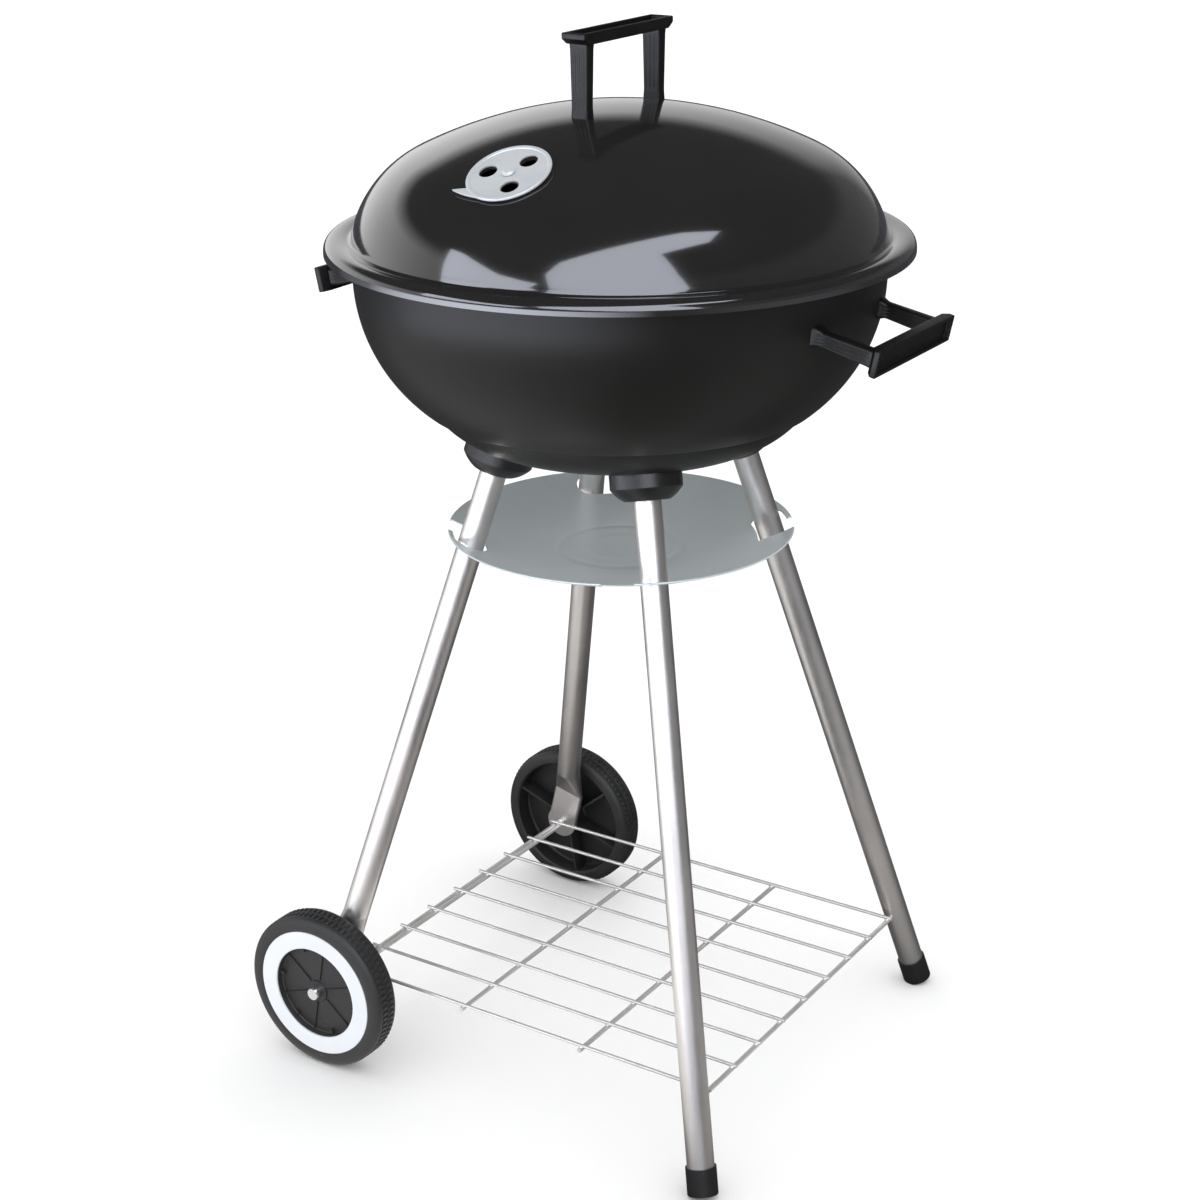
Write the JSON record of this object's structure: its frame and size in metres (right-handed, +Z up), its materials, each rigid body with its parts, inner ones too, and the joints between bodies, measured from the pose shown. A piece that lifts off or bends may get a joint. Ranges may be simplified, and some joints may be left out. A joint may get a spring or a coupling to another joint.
{
  "type": "kettle charcoal grill",
  "caption": "Round kettle charcoal grill: domed lid and deep bowl on splayed tube legs, with wheels, wire shelf, vent dampers and a twist-off ash catcher.",
  "frame": {"origin": "on the kettle's axis at the level of the floor it stands on", "axes": "+Z up along the kettle's axis; +X from the wheels towards the capped feet; +Y along the axle, away from the lid's vent"},
  "size_m": [0.5204, 0.464, 0.8688],
  "materials": {
    "lid_enamel": "gloss enamel",
    "bowl_enamel": "semi-gloss enamel",
    "handle_plastic": "satin moulded",
    "socket_plastic": "semi-gloss moulded",
    "leg_steel": "satin brushed",
    "foot_plastic": "matte",
    "wheel_plastic": "matte moulded",
    "wheel_trim": "smooth",
    "wire_plating": "bright plated",
    "damper_aluminium": "satin",
    "pan_aluminium": "dull satin",
    "fastener_steel": "zinc plated",
    "grate_steel": "plated wire"
  },
  "bodies": {
    "stand": {"bowl": "bowl_enamel", "side_handle_left": "handle_plastic", "side_handle_right": "handle_plastic", "side_handle_left_screws": "fastener_steel", "side_handle_right_screws": "fastener_steel", "floor_damper_rivet": "damper_aluminium", "wheel_leg_front": "leg_steel", "wheel_leg_back": "leg_steel", "foot_leg_front": "leg_steel", "foot_leg_back": "leg_steel", "wheel_socket_front": "socket_plastic", "wheel_socket_back": "socket_plastic", "foot_socket_front": "socket_plastic", "foot_socket_back": "socket_plastic", "leg_bolts": "fastener_steel", "leg_plugs": "fastener_steel", "foot_cap_front": "foot_plastic", "foot_cap_back": "foot_plastic", "axle": "fastener_steel", "axle_nuts": "wire_plating", "axle_washers": "fastener_steel", "shelf": "wire_plating", "cooking_grate": "grate_steel", "charcoal_grate": "grate_steel", "grate_brackets": "fastener_steel"},
    "lid": {"lid": "lid_enamel", "lid_handle": "handle_plastic", "lid_handle_screws": "fastener_steel", "lid_damper_rivet": "damper_aluminium"},
    "lid_damper": {"lid_damper": "damper_aluminium"},
    "floor_damper": {"floor_damper": "damper_aluminium"},
    "ash_catcher": {"ash_catcher": "pan_aluminium"},
    "wheel_front": {"wheel_front": "wheel_plastic", "wheel_ring_front": "wheel_trim"},
    "wheel_back": {"wheel_back": "wheel_plastic", "wheel_ring_back": "wheel_trim"}
  },
  "joints": [
    {"name": "lid_lift", "type": "slide", "parent": "stand", "child": "lid", "axis": [0, 0, 1], "range_m": [0, 0.35]},
    {"name": "lid_damper_turn", "type": "hinge", "parent": "lid", "child": "lid_damper", "pos_m": [0, -0.14902, 0.77876], "axis": [0, -0.454, 0.891], "range_deg": [0, 60]},
    {"name": "floor_damper_turn", "type": "hinge", "parent": "stand", "child": "floor_damper", "pos_m": [0, 0, 0.5415], "axis": [0, 0, 1], "range_deg": [-60, 0]},
    {"name": "ash_catcher_twist", "type": "hinge", "parent": "stand", "child": "ash_catcher", "pos_m": [0, 0, 0.456], "axis": [0, 0, 1], "range_deg": [0, 13]},
    {"name": "front_wheel_spin", "type": "hinge", "parent": "stand", "child": "wheel_front", "pos_m": [-0.1808, -0.195, 0.07], "axis": [0, 1, 0], "continuous": true},
    {"name": "back_wheel_spin", "type": "hinge", "parent": "stand", "child": "wheel_back", "pos_m": [-0.1808, 0.195, 0.07], "axis": [0, 1, 0], "continuous": true}
  ]
}
